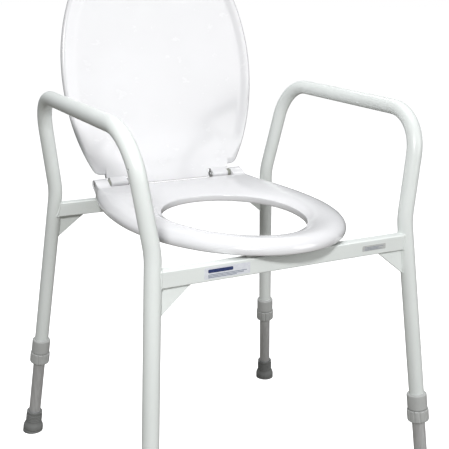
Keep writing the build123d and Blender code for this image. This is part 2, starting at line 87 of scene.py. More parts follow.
# Heights on the lid are above the hinge's plane, with the lid closed.
LID_HALF_WIDTH = 0.196
LID_FRONT = 0.271
LID_REAR = 0.287
LID_START = 0.017            # gap from the hinge to the tray's rear edge
LID_CORNER_R = 0.016
LID_RIM = 0.0015             # the rim's tip
LID_PANEL = 0.0048           # the panel between the rolled rims
LID_BACK = 0.018
LID_CROWN = 0.0015           # rise of the back's middle
LID_ROLL = 0.030             # width of the rolled rim
LID_CENTRE = HINGE.y + 0.03  # ahead of the hinge
LID_REAR_ZONE = (0.020, 0.060)    # the inside slope widens between these distances ahead of the hinge
KNUCKLE_X = (0.090, 0.124)
KNUCKLE_R = 0.0085
SKIRT_HALF_WIDTH = 0.1292
FLAP_HALF_WIDTH = 0.085
PIN_HOLE_R = 0.0042
TUBE_R = 0.0127


# ------------------------------------------------------------------ camera, light, floor
CAMERA_AT = (-0.676103, -1.252882, 0.854706)
CAMERA_AZIMUTH = -28.654      # degrees, 0 looks along +Y
CAMERA_ELEVATION = 15.24      # degrees down
CAMERA_ROLL = 0.781
CAMERA_LENS = 67.67
CAMERA_SENSOR = 36.0
WORLD_COLOUR = (0.96, 0.98, 1.0)
WORLD_STRENGTH = 0.29
FLOOR_Z = -0.055              # just under the feet when the legs are fully out
FLOOR_REACH = 60.0
FLOOR_BOUNCE = (0.20, 0.19, 0.17)
FLOOR_PALE = (0.85, 0.85, 0.85)
FLOOR_GLOW = 0.8
LIGHTS_AIM = (0, 0, 0.5)
# name, place, diameter, watts: a small key beside the camera, and soft lights above, in front and behind
LIGHTS = (
    ("key", (-0.90, -1.26, 1.42), 0.2, 18.2),
    ("overhead", (0.1, 0.1, 3.0), 2.2, 29),
    ("fill", (1.6, -2.4, 1.3), 1.8, 26),
    ("back", (1.0, 1.8, 3.0), 1.4, 20),
)


def make_camera():
    azimuth, elevation, roll = (math.radians(v) for v in (CAMERA_AZIMUTH, CAMERA_ELEVATION, CAMERA_ROLL))
    right = Vector((math.cos(azimuth), math.sin(azimuth), 0))
    ahead = Vector((
        -math.sin(azimuth) * math.cos(elevation),
        math.cos(azimuth) * math.cos(elevation),
        -math.sin(elevation),
    ))
    up = right.cross(ahead)
    rolled_right = math.cos(roll) * right + math.sin(roll) * up
    rolled_up = -math.sin(roll) * right + math.cos(roll) * up
    turn = Matrix((rolled_right, rolled_up, -ahead)).transposed().to_4x4()
    data = bpy.data.cameras.new("camera")
    data.lens = CAMERA_LENS
    data.sensor_width = CAMERA_SENSOR
    camera = bpy.data.objects.new("camera", data)
    camera.matrix_world = Matrix.Translation(CAMERA_AT) @ turn
    bpy.context.collection.objects.link(camera)
    bpy.context.scene.camera = camera


def make_light(name, place, diameter, watts):
    data = bpy.data.lights.new(name, "AREA")
    data.shape = "DISK"
    data.size = diameter
    data.energy = watts
    light = bpy.data.objects.new(name, data)
    light.location = place
    light.rotation_euler = (Vector(LIGHTS_AIM) - Vector(place)).to_track_quat("-Z", "Y").to_euler()
    bpy.context.collection.objects.link(light)


def shown_white(material_or_world, dim, bright):
    """White where the camera looks straight at it, and the dimmer shader for light that bounces."""
    tree = material_or_world.node_tree
    path = tree.nodes.new("ShaderNodeLightPath")
    choose = tree.nodes.new("ShaderNodeMixShader")
    output = next(node for node in tree.nodes if node.type.startswith("OUTPUT"))
    tree.links.new(path.outputs["Is Camera Ray"], choose.inputs[0])
    tree.links.new(dim, choose.inputs[1])
    tree.links.new(bright, choose.inputs[2])
    tree.links.new(choose.outputs[0], output.inputs["Surface"])


def make_world():
    world = bpy.data.worlds.new("studio")
    bpy.context.scene.world = world
    world.use_nodes = True
    dim = world.node_tree.nodes["Background"]
    dim.inputs["Color"].default_value = (*WORLD_COLOUR, 1)
    dim.inputs["Strength"].default_value = WORLD_STRENGTH
    bright = world.node_tree.nodes.new("ShaderNodeBackground")
    bright.inputs["Color"].default_value = (1, 1, 1, 1)
    shown_white(world, dim.outputs[0], bright.outputs[0])


def make_floor():
    mesh = bpy.data.meshes.new("floor")
    quarters = ((-1, -1), (1, -1), (1, 1), (-1, 1))
    corners = [(x * FLOOR_REACH, y * FLOOR_REACH, FLOOR_Z) for x, y in quarters]
    mesh.from_pydata(corners, [], [(0, 1, 2, 3)])
    floor = bpy.data.objects.new("floor", mesh)
    bpy.context.collection.objects.link(floor)
    made = bpy.data.materials.new("floor")
    made.use_nodes = True
    tree = made.node_tree
    dim = tree.nodes["Principled BSDF"]
    dim.inputs["Base Color"].default_value = (*FLOOR_BOUNCE, 1)
    dim.inputs["Roughness"].default_value = 0.9
    pale = tree.nodes.new("ShaderNodeBsdfDiffuse")
    pale.inputs["Color"].default_value = (*FLOOR_PALE, 1)
    glow = tree.nodes.new("ShaderNodeEmission")
    glow.inputs["Strength"].default_value = FLOOR_GLOW
    both = tree.nodes.new("ShaderNodeAddShader")
    tree.links.new(pale.outputs[0], both.inputs[0])
    tree.links.new(glow.outputs[0], both.inputs[1])
    shown_white(made, dim.outputs[0], both.outputs[0])
    mesh.materials.append(made)


def make_studio():
    """White studio with four lights."""
    bpy.context.scene.view_settings.view_transform = "Standard"
    make_world()
    make_floor()
    for light in LIGHTS:
        make_light(*light)


# ------------------------------------------------------------------ materials
NOISE_LOW, NOISE_HIGH = 0.3, 0.7   # most of a noise texture's values lie between these


class Surface:
    """A Principled material built up from procedural layers, in object space (metres)."""

    def __init__(self, name, **sockets):
        self.material = bpy.data.materials.new(name)
        self.material.use_nodes = True
        self.nodes = self.material.node_tree.nodes
        self.links = self.material.node_tree.links
        self.shader = self.nodes["Principled BSDF"]
        self.where = self.nodes.new("ShaderNodeTexCoord").outputs["Object"]
        self.normal = None
        for socket, value in sockets.items():
            self.shader.inputs[socket.replace("_", " ")].default_value = value

    def stretched(self, scale):
        """Object coordinates scaled by a different amount on each axis."""
        mapping = self.nodes.new("ShaderNodeMapping")
        mapping.inputs["Scale"].default_value = scale
        self.links.new(self.where, mapping.inputs["Vector"])
        return mapping.outputs["Vector"]

    def noise(self, scale, detail, roughness=0.5, where=None):
        node = self.nodes.new("ShaderNodeTexNoise")
        node.inputs["Scale"].default_value = scale
        node.inputs["Detail"].default_value = detail
        node.inputs["Roughness"].default_value = roughness
        self.links.new(where or self.where, node.inputs["Vector"])
        return node.outputs["Fac"]

    def colour(self, value, stops):
        """Base colour from a value, through a ramp of two (position, colour) stops."""
        node = self.nodes.new("ShaderNodeValToRGB")
        for element, (position, colour) in zip(node.color_ramp.elements, stops):
            element.position = position
            element.color = (*colour, 1)
        self.links.new(value, node.inputs["Fac"])
        self.links.new(node.outputs["Color"], self.shader.inputs["Base Color"])

    def mottle(self, value, shade, darker, lighter):
        """Base colour that varies about one shade, by these shares."""
        self.colour(value, [(NOISE_LOW, tint(shade, darker)), (NOISE_HIGH, tint(shade, lighter))])

    def roughness(self, value, low, high):
        """Roughness that follows a noise value, from low to high."""
        node = self.nodes.new("ShaderNodeMapRange")
        node.inputs["From Min"].default_value = NOISE_LOW
        node.inputs["From Max"].default_value = NOISE_HIGH
        node.inputs["To Min"].default_value = low
        node.inputs["To Max"].default_value = high
        self.links.new(value, node.inputs["Value"])
        self.links.new(node.outputs["Result"], self.shader.inputs["Roughness"])

    def bump(self, value, height, strength):
        """Raises the surface by value times height, on top of earlier bumps."""
        node = self.nodes.new("ShaderNodeBump")
        node.inputs["Strength"].default_value = strength
        node.inputs["Distance"].default_value = height
        self.links.new(value, node.inputs["Height"])
        if self.normal:
            self.links.new(self.normal, node.inputs["Normal"])
        self.normal = node.outputs["Normal"]
        self.links.new(self.normal, self.shader.inputs["Normal"])


def tint(colour, amount):
    """The colour made darker or lighter by a small share."""
    return tuple(min(1.0, c * (1 + amount)) for c in colour)


def powder_coat():
    """Satin white powder coat: orange-peel texture and faint mottling."""
    made = Surface("powder_coat", Coat_Weight=0.15, Coat_Roughness=0.25)
    made.mottle(made.noise(9, 4), (0.80, 0.835, 0.815), -0.035, 0.02)
    made.roughness(made.noise(60, 3), 0.28, 0.42)
    made.bump(made.noise(420, 2), 0.00012, 0.55)
    made.bump(made.noise(35, 2), 0.0004, 0.12)
    return made.material


def gloss_plastic(name, white, roughness):
    """Moulded glossy plastic: faint sink marks, fine wiping marks and a fine grain."""
    scatter = {"Subsurface_Weight": 0.06, "Subsurface_Radius": (4 * MM, 4 * MM, 4 * MM)}
    made = Surface(name, Coat_Weight=0.4, Coat_Roughness=0.08, **scatter)
    made.mottle(made.noise(5, 3), white, -0.02, 0.015)
    wiping = made.noise(30, 5, 0.7, made.stretched((1.0, 6.0, 1.0)))
    made.roughness(wiping, roughness * 0.8, roughness * 1.5)
    made.bump(made.noise(14, 1), 0.0006, 0.08)
    made.bump(made.noise(900, 2), 0.00003, 0.25)
    return made.material


def grained_plastic(name, shade):
    """Moulded matt plastic with a spark-eroded grain."""
    made = Surface(name)
    made.mottle(made.noise(40, 4), shade, -0.06, 0.04)
    made.roughness(made.noise(200, 2), 0.42, 0.6)
    made.bump(made.noise(1400, 2), 0.00008, 0.5)
    return made.material


def rubber(name, shade):
    """Moulded rubber with fine pores and faint blotches."""
    made = Surface(name, Specular_IOR_Level=0.35)
    made.colour(made.noise(70, 6, 0.65), [(0.25, tint(shade, -0.12)), (0.75, tint(shade, 0.1))])
    made.roughness(made.noise(120, 3), 0.66, 0.88)
    made.bump(made.noise(1800, 3), 0.0001, 0.5)
    return made.material


def steel(name, shade, roughness, grain):
    """Bare metal with a fine grain that runs along the part."""
    made = Surface(name, Metallic=0.75)
    lines = made.noise(60, 5, 0.7, made.stretched(grain))
    made.mottle(lines, shade, -0.12, 0.08)
    made.roughness(lines, roughness * 0.8, roughness * 1.35)
    made.bump(lines, 0.00005, 0.4)
    return made.material


def zinc():
    """Zinc plating with a soft crystalline mottle."""
    made = Surface("zinc_steel", Metallic=1.0)
    cells = made.nodes.new("ShaderNodeTexVoronoi")
    cells.inputs["Scale"].default_value = 700
    made.links.new(made.where, cells.inputs["Vector"])
    made.colour(cells.outputs["Color"], [(0.1, (0.50, 0.51, 0.52)), (0.9, (0.66, 0.66, 0.65))])
    made.roughness(made.noise(500, 3), 0.28, 0.45)
    made.bump(made.noise(800, 3), 0.00004, 0.4)
    return made.material


def printed_film(name, film, marks):
    """Sticker film with faint print mottle and a slightly rippled surface."""
    made = Surface(name, Coat_Weight=0.3)
    made.colour(made.noise(300, 4, 0.7), [(0.35, marks), (0.65, film)])
    made.roughness(made.noise(80, 2), 0.28, 0.42)
    made.bump(made.noise(120, 2), 0.0002, 0.15)
    return made.material


def make_materials():
    return {
        "powder_coat": powder_coat(),
        "seat_plastic": gloss_plastic("seat_plastic", (0.80, 0.80, 0.815), 0.16),
        "lid_plastic": gloss_plastic("lid_plastic", (0.79, 0.79, 0.805), 0.2),
        "grey_collar_plastic": grained_plastic("grey_collar_plastic", (0.50, 0.51, 0.50)),
        "bearing_plastic": grained_plastic("bearing_plastic", (0.74, 0.72, 0.66)),
        "bracket_plastic": grained_plastic("bracket_plastic", (0.30, 0.31, 0.27)),
        "foot_rubber": rubber("foot_rubber", (0.22, 0.225, 0.22)),
        "buffer_rubber": rubber("buffer_rubber", (0.68, 0.68, 0.66)),
        "bare_steel": steel("bare_steel", (0.80, 0.81, 0.82), 0.42, (6.0, 6.0, 0.3)),
        "zinc_steel": zinc(),
        "label_main": printed_film("label_main", (0.78, 0.80, 0.84), (0.70, 0.72, 0.78)),
        "label_end": printed_film("label_end", (0.60, 0.61, 0.60), (0.48, 0.49, 0.48)),
        "label_ink": printed_film("label_ink", (0.03, 0.05, 0.16), (0.02, 0.035, 0.12)),
        "label_grey_ink": printed_film("label_grey_ink", (0.30, 0.33, 0.40), (0.24, 0.27, 0.34)),
    }


MATERIALS = make_materials()


def dress_cad_nodes():
    """Every CAD node takes its slot's material."""
    slots = {part["node"]: part["material_slot"] for part in frame["record"]["subparts"]}
    for name, node in frame["nodes"].items():
        node.data.materials.clear()
        node.data.materials.append(MATERIALS[slots[name]])


# ------------------------------------------------------------------ mesh tools
SHARP_ANGLE = 40      # degrees
CIRCLE_POINTS = 40
BARREL_POINTS = 24    # on the open arc of a hinge barrel
OVAL_STEPS = 720


def new_piece(name, mesh, material, body):
    """A finished object with its material, riding on a body; its flat faces stay flat."""
    mesh.polygons.foreach_set("use_smooth", [True] * len(mesh.polygons))
    mesh.set_sharp_from_angle(angle=math.radians(SHARP_ANGLE))
    piece = bpy.data.objects.new(name, mesh)
    bpy.context.collection.objects.link(piece)
    weighted = piece.modifiers.new("flat faces", "WEIGHTED_NORMAL")
    weighted.keep_sharp = True
    mesh.materials.clear()
    mesh.materials.append(MATERIALS[material])
    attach(piece, body)
    return piece


def grid_mesh(name, rings, closed_run=True, caps=False):
    """Skin over rings of points. Each ring is closed, and closed_run joins the last ring to the first."""
    count = len(rings[0])
    points = [p for ring in rings for p in ring]
    faces = []
    last = len(rings) if closed_run else len(rings) - 1
    for i in range(last):
        a, b = i * count, (i + 1) % len(rings) * count
        for k in range(count):
            m = (k + 1) % count
            faces.append((a + k, a + m, b + m, b + k))
    if caps:
        faces.append(tuple(range(count))[::-1])
        faces.append(tuple(range(len(points) - count, len(points))))
    mesh = bpy.data.meshes.new(name)
    mesh.from_pydata([tuple(p) for p in points], [], faces)
    fix_normals(mesh)
    return mesh


def fix_normals(mesh):
    work = bmesh.new()
    work.from_mesh(mesh)
    bmesh.ops.recalc_face_normals(work, faces=work.faces)
    work.to_mesh(mesh)
    work.free()


def even_spacing(points, count):
    """A closed outline resampled at equal steps."""
    loop = np.array(points + points[:1])
    steps = np.linalg.norm(np.diff(loop, axis=0), axis=1)
    travel = np.concatenate([[0], np.cumsum(steps)])
    at = np.linspace(0, travel[-1], count, endpoint=False)
    return np.stack([np.interp(at, travel, loop[:, k]) for k in range(2)], axis=1)


def oval(half_width, front, rear, edge, corner, count):
    """The rounded outline of a seat or lid, anticlockwise from above, front towards -Y."""
    across, ahead, behind, cut = (v - corner for v in (half_width, front, rear, edge))
    corner_x = across * math.sqrt(1 - (cut / behind) ** 2)
    points = []
    for k in range(OVAL_STEPS):
        angle = 2 * math.pi * (k + 0.5) / OVAL_STEPS - math.pi / 2
        c, s = math.cos(angle), math.sin(angle)
        depth = behind if s > 0 else ahead
        reach = math.hypot(across * c, depth * s)
        x, y = across * across * c / reach, depth * depth * s / reach
        if y > cut:
            x, y = math.copysign(corner_x, c), cut
        points.append((x + corner * c, y + corner * s))
    return even_spacing(points, count)


def outward(outline):
    """Unit normals of a closed anticlockwise outline."""
    along = np.roll(outline, -1, axis=0) - np.roll(outline, 1, axis=0)
    normal = np.stack([along[:, 1], -along[:, 0]], axis=1)
    return normal / np.linalg.norm(normal, axis=1)[:, None]


def shaped_plate(name, outline, x0, x1, bevel, hole_r=0.0):
    """Plate across X from a closed (y, z) outline, with rounded edges and perhaps a round hole at (0, 0)."""
    curve = bpy.data.curves.new(name, "CURVE")
    curve.dimensions = "2D"
    curve.fill_mode = "BOTH"
    curve.extrude = (x1 - x0) / 2 - bevel
    curve.bevel_depth = bevel
    curve.bevel_resolution = 3
    curve.offset = -bevel
    for loop in [outline, circle(hole_r)] if hole_r else [outline]:
        spline = curve.splines.new("POLY")
        spline.points.add(len(loop) - 1)
        for point, (u, v) in zip(spline.points, loop):
            point.co = (u, v, 0, 1)
        spline.use_cyclic_u = True
    flat = bpy.data.objects.new(name, curve)
    bpy.context.collection.objects.link(flat)
    bpy.context.view_layer.update()
    mesh = bpy.data.meshes.new_from_object(flat)
    bpy.data.objects.remove(flat)
    turn = Matrix(((0, 0, 1, (x0 + x1) / 2), (1, 0, 0, 0), (0, 1, 0, 0), (0, 0, 0, 1)))
    mesh.transform(turn)
    return mesh


def arc(centre, radius, start, end, count):
    """Points (u, v) on an arc, angles in degrees."""
    angles = np.radians(np.linspace(start, end, count))
    return [(centre[0] + radius * math.cos(a), centre[1] + radius * math.sin(a)) for a in angles]


def circle(radius):
    """Points (u, v) all round (0, 0)."""
    return arc((0, 0), radius, 0, 360, CIRCLE_POINTS + 1)[:-1]


def rising(value, low, high):
    """0 below low, 1 above high and straight in between."""
    return min(1.0, max(0.0, (value - low) / (high - low)))


def eased(share):
    """A 0 to 1 share that starts and ends gently."""
    return share * share * (3 - 2 * share)


def rounded_box(half_u, half_v, corner, count):
    """Points (u, v) round a box about (0, 0), with this many on each corner."""
    points = []
    for quarter, (su, sv) in enumerate(((1, 1), (-1, 1), (-1, -1), (1, -1))):
        centre = (su * (half_u - corner), sv * (half_v - corner))
        points += arc(centre, corner, 90 * quarter, 90 * quarter + 90, count)
    return points


def joined(name, meshes):
    """Several meshes as one, without joining their surfaces."""
    work = bmesh.new()
    for mesh in meshes:
        work.from_mesh(mesh)
    result = bpy.data.meshes.new(name)
    work.to_mesh(result)
    work.free()
    return result


# ------------------------------------------------------------------ seat
SECTION_STEPS = 14
EDGE_STEPS = 10
SEAT_OUTLINE_POINTS = 220
RIB_SEARCH_POINTS = 400


def seat_section(width, edge):
    """Closed cross-section (distance from the opening, height) of the seat ring, its outer edge rounded."""
    start, top = 3 * MM, width - edge
    points = [(1.5 * MM, 0), (0.3 * MM, 1.2 * MM), (0, 4 * MM), (0.1 * MM, SEAT_LIP - 3 * MM)]
    points += [(0.9 * MM, SEAT_LIP - MM)]
    for t in np.linspace(0, 1, SECTION_STEPS):
        points.append((start + t * (top - start), SEAT_LIP + (SEAT_THICK - SEAT_LIP) * (1 - (1 - t) ** 2)))
    for a in np.radians(np.linspace(0, 90, EDGE_STEPS)[1:]):
        height = SEAT_EDGE_LOW + (SEAT_THICK - SEAT_EDGE_LOW) * math.cos(a)
        points.append((top + edge * math.sin(a), height))
    foot = width - SEAT_WALL
    points += [(width - 0.4 * MM, 3 * MM), (width - 1.4 * MM, MM), (width - 3.5 * MM, 0)]
    points += [(foot + 1.5 * MM, 0), (foot + 0.5 * MM, MM), (foot, SEAT_HOLLOW)]
    points += [(SEAT_WALL + 0.5 * MM, SEAT_HOLLOW), (SEAT_WALL, MM), (SEAT_WALL - MM, 0), (4 * MM, 0)]
    return points


def seat_outline(count):
    return oval(SEAT_HIGH.x, -SEAT_LOW.y, SEAT_REAR, SEAT_REAR_EDGE, SEAT_CORNER_R, count)


def opening_reach(ray):
    """How far the egg-shaped opening reaches along a unit direction from its widest line's middle."""
    length = OPENING_REAR if ray[1] > 0 else OPENING_FRONT
    return 1 / math.hypot(ray[0] / OPENING_HALF_WIDTH, ray[1] / length)


def seat_ring():
    centre = np.array([0, OPENING_Y])
    rings = []
    for outer in seat_outline(SEAT_OUTLINE_POINTS):
        ray = outer - centre
        reach = np.linalg.norm(ray)
        ray = ray / reach
        inner_reach = opening_reach(ray)
        rear = rising(outer[1], *SEAT_REAR_ZONE)
        edge = (SEAT_ROUNDING + SEAT_SIDE_ROUNDING * ray[0] ** 2) * (1 - rear) + SEAT_REAR_ROUNDING * rear
        ring = []
        for distance, height in seat_section(reach - inner_reach, edge):
            x, y = centre + ray * (inner_reach + distance)
            ring.append((x, y, SEAT_LOW.z + height))
        rings.append(ring)
    return grid_mesh("seat_ring", rings)


def seat_rib(angle):
    """Stiffening rib across the hollow underside, along a ray from the opening's centre."""
    ray = np.array([math.cos(angle), math.sin(angle)])
    rays = seat_outline(RIB_SEARCH_POINTS) - np.array([0, OPENING_Y])
    nearest = rays[np.argmax(rays @ ray / np.linalg.norm(rays, axis=1))]
    inner = opening_reach(ray) + 10 * MM
    outer = np.linalg.norm(nearest) - 10 * MM
    side = np.array([-ray[1], ray[0]])
    root, tip = (1.8 * MM, SEAT_HOLLOW + 0.5 * MM), (1.5 * MM, 0.6 * MM)
    section = ((-root[0], root[1]), (-tip[0], tip[1]), tip, root)
    rings = []
    for distance in (inner, outer):
        middle = np.array([0, OPENING_Y]) + ray * distance
        ring = []
        for across, height in section:
            x, y = middle + side * across
            ring.append((x, y, SEAT_LOW.z + height))
        rings.append(ring)
    return grid_mesh("rib", rings, closed_run=False, caps=True)


def seat_ear(side):
    """Hinge ear: a barrel with a recessed end that runs forward into the seat's rear corner."""
    near, far = EAR_X
    outline = arc((0, 0), EAR_R, -95, 75, BARREL_POINTS)
    outline += [(-0.006, 0.0082), (-0.012, 0.0045), (-0.020, 0.0006), (-0.030, -0.0014), (-0.044, -0.0026)]
    outline += [(-0.044, -0.0238), (-0.016, -0.0238), (-0.010, -0.0200)]
    inner, outer = sorted((side * near, side * far))
    barrel = shaped_plate("ear", outline, inner, outer, 1.6 * MM, EAR_RECESS_R)
    inner, outer = sorted((side * (near + 0.3 * MM), side * (far - EAR_RECESS)))
    core = shaped_plate("ear", circle(EAR_RECESS_R + MM), inner, outer, 0.4 * MM, PIN_HOLE_R)
    mesh = joined("ear", [barrel, core])
    mesh.transform(Matrix.Translation((0, HINGE.y, HINGE.z)))
    return mesh


def make_seat():
    parts = [seat_ring()]
    parts += [seat_rib(2 * math.pi * (k + 0.25) / SEAT_RIBS) for k in range(SEAT_RIBS)]
    parts += [seat_ear(side) for side in SIDES.values()]
    piece = new_piece("seat_shell", joined("seat_shell", parts), "seat_plastic", "seat")
    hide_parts("seat")


# ------------------------------------------------------------------ lid
LID_OUTLINE_POINTS = 200


def lid_matrix():
    """From the closed lid's own plane (distance ahead of the hinge, height above it) to where it is."""
    lean = LID_SWING - math.pi / 2
    along = Vector((0, math.sin(lean), math.cos(lean)))
    up = Vector((0, math.cos(lean), -math.sin(lean)))
    turn = Matrix((Vector((-1, 0, 0)), along, up)).transposed().to_4x4()
    return Matrix.Translation(HINGE) @ turn


def lid_tray():
    """Shallow tray: (inset from the edge, height) down the inside, round the rim and over the back."""
    outline = oval(LID_HALF_WIDTH, LID_FRONT, LID_REAR, HINGE.y - LID_START, LID_CORNER_R, LID_OUTLINE_POINTS)
    outline = np.stack([outline[:, 0], HINGE.y - outline[:, 1]], axis=1)[::-1]
    centre = np.array([0, LID_CENTRE])
    normals = outward(outline)
    rim = [(LID_ROLL, LID_PANEL), (0.0240, LID_PANEL - 0.0003), (0.0190, LID_PANEL - 0.0012)]
    rim += [(0.0145, 0.0026), (0.0110, 0.0020), (0.0080, 0.0016), (0.0052, LID_RIM)]
    rim += [(0.0030, 0.0018), (0.0013, 0.0030), (0.0003, 0.0050), (0.0000, 0.0072), (0.0004, 0.0100)]
    rim += [(0.0017, 0.0128), (0.0038, 0.0150), (0.0068, 0.0167), (0.0110, 0.0177), (0.0170, LID_BACK)]
    rim += [(LID_ROLL, LID_BACK + 0.0003)]
    shares = (0.2, 0.4, 0.6, 0.8, 0.95)   # of the way in to the lid's centre

    def loop(inset_asked, height, share=0.0):
        """The outline drawn in by the inset, three times as far along the rear edge's inside."""
        ring = []
        for point, normal in zip(outline, normals):
            ray = (point - centre) / np.linalg.norm(point - centre)
            inset = inset_asked
            if height < LID_BACK / 2:
                inset = inset_asked * (1 + 2 * eased(1 - rising(point[1], *LID_REAR_ZONE)))
            edge = point - ray * inset / max(0.5, float(ray @ normal))
            x, y = edge + (centre - edge) * share
            ring.append((x, y, height))
        return ring

    rings = [loop(LID_ROLL, LID_PANEL, share) for share in reversed(shares)]
    rings += [loop(inset, height) for inset, height in rim]
    for share in shares:
        rings.append(loop(LID_ROLL, LID_BACK + 0.0003 + LID_CROWN * share * (2 - share), share))
    return grid_mesh("lid_tray", rings, closed_run=False, caps=True)


def lid_skirts():
    """The rear wall carried on towards the hinge, as (distance ahead of the hinge, height) outlines."""
    wall, bevel = LID_START + 19 * MM, 0.5 * MM
    beside_pins = [(wall, LID_RIM), (0.0112, LID_RIM), (0.0098, 0.0028), (0.0098, 0.0092), (0.0118, 0.0110)]
    beside_pins += [(LID_START + 4 * MM, 0.0125), (wall, 0.0125)]
    between_pins = [(wall, LID_RIM), (-0.0040, LID_RIM), (-0.0049, 0.0026), (-0.0049, 0.0050)]
    between_pins += [(-0.0040, 0.0060), (0.0112, 0.0060), (0.0130, 0.0110), (wall, 0.0110)]
    skirts = [shaped_plate("flap", between_pins, -FLAP_HALF_WIDTH, FLAP_HALF_WIDTH, bevel)]
    for side in SIDES.values():
        inner, outer = sorted((side * (FLAP_HALF_WIDTH - 0.4 * MM), side * SKIRT_HALF_WIDTH))
        skirts.append(shaped_plate("skirt", beside_pins, inner, outer, bevel))
    return skirts


def lid_knuckle(side):
    """Barrel on the pin with a web up to the tray's rear wall."""
    outline = arc((0, 0), KNUCKLE_R, 100, 290, BARREL_POINTS)
    outline += [(0.0090, -0.0010), (0.0125, 0.0022), (0.0215, 0.0022), (0.0215, 0.0105), (0.0150, 0.0105)]
    outline += [(0.0060, 0.0090)]
    inner, outer = sorted((side * KNUCKLE_X[0], side * KNUCKLE_X[1]))
    return shaped_plate("knuckle", outline, inner, outer, 1.2 * MM, PIN_HOLE_R)


def make_lid():
    mesh = joined("lid_shell", [lid_tray()] + lid_skirts())
    mesh.transform(lid_matrix())
    piece = new_piece("lid_shell", mesh, "lid_plastic", "lid")
    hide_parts("lid")
    for name, side in SIDES.items():
        mesh = lid_knuckle(-side)  # the closed lid's own plane faces the other way
        mesh.transform(lid_matrix())
        piece = new_piece(f"knuckle_{name}", mesh, "lid_plastic", "lid")
        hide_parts(f"lid_knuckle_{name}")


# ------------------------------------------------------------------ welds
RAIL_BOX = {end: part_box(f"{end}_rail") for end in ("front", "rear")}
GUSSET_ALONG_RAIL = 0.048
BEAD_SIDES = 10
BEAD_THIN = 0.86              # a bead's thinnest, as a share of its radius
BEAD_SWELL = 0.22             # what a ripple adds to that at its end
BEAD_TIP = 0.35               # an open bead's ends, as a share of its thickness
BEAD_TAPER = 2.5 * MM
RIPPLE_LENGTH = 1.6 * MM
RAIL_BEAD_R = 1.5 * MM
RAIL_BEAD_POINTS = 150
RAIL_CORNER_R = 2 * MM
RAIL_CORNER_POINTS = 8
LEG_BEAD_R = 1.1 * MM
LEG_BEAD_POINTS = 90
LEG_BEAD_GAPS = (2 * MM, 5 * MM)      # left bare at its top and its bottom
GUSSET_BEAD_R = 1.0 * MM
GUSSET_BEAD_POINTS = 100
GUSSET_BEAD_GAPS = (3 * MM, 2 * MM)   # left bare beside the leg and at the gusset's tip
GUSSET_BEAD_DROP = 0.4 * MM           # centre line under the rail
GUSSET_FACE = 1.9 * MM                # from the gusset's middle to a bead's centre line


def leg_line(corner):
    """A point on a leg's centre line and the direction down it."""
    down = Vector(JOINTS[f"leg_slide_{corner}"]["axis"]).normalized()
    return Vector(JOINTS[f"lock_turn_{corner}"]["pos_m"]), down


def leg_surface_x(corner, y, z):
    """X of the leg's inner surface at a height and depth."""
    side, _ = CORNERS[corner]
    point, down = leg_line(corner)
    y0, z0 = y - point.y, z - point.z
    # |w|^2 - (w . down)^2 = R^2 for w = (x - point.x, y0, z0)
    a = 1 - down.x ** 2
    b = -2 * down.x * (y0 * down.y + z0 * down.z)
    c = y0 ** 2 + z0 ** 2 - (y0 * down.y + z0 * down.z) ** 2 - TUBE_R ** 2
    root = math.sqrt(max(0.0, b * b - 4 * a * c))
    return point.x + (-b - side * root) / (2 * a)


def bead(path, radius, aside, closed):
    """Weld bead along a path, in overlapping ripples that each widen towards their end."""
    path = np.array([tuple(p) for p in path])
    along = np.roll(path, -1, axis=0) - np.roll(path, 1, axis=0)
    if not closed:
        along[0], along[-1] = path[1] - path[0], path[-1] - path[-2]
    along /= np.linalg.norm(along, axis=1)[:, None]
    steps = np.linalg.norm(np.diff(path, axis=0), axis=1)
    travel = np.concatenate([[0], np.cumsum(steps)])
    rings = []
    for point, tangent, s in zip(path, along, travel):
        one = np.cross(tangent, aside)
        one /= np.linalg.norm(one)
        two = np.cross(tangent, one)
        ripple = (s / RIPPLE_LENGTH) % 1.0
        size = radius * (BEAD_THIN + BEAD_SWELL * math.sqrt(ripple))
        if not closed:
            size *= min(1.0, BEAD_TIP + min(s, travel[-1] - s) / BEAD_TAPER)
        ring = []
        for a in np.linspace(0, 2 * math.pi, BEAD_SIDES + 1)[:-1]:
            ring.append(point + size * (math.cos(a) * one + math.sin(a) * two))
        rings.append(ring)
    return grid_mesh("bead", rings, closed_run=closed, caps=not closed)


def rail_weld(corner):
    """Bead all round a rail's end, where it meets the leg."""
    end = "front" if CORNERS[corner][1] < 0 else "rear"
    low, high = RAIL_BOX[end]
    middle = (low + high) / 2
    outline = rounded_box((high.y - low.y) / 2, (high.z - low.z) / 2, RAIL_CORNER_R, RAIL_CORNER_POINTS)
    path = []
    for y, z in even_spacing(outline, RAIL_BEAD_POINTS):
        path.append((leg_surface_x(corner, middle.y + y, middle.z + z), middle.y + y, middle.z + z))
    return bead(path, RAIL_BEAD_R, (1, 0, 0), closed=True)


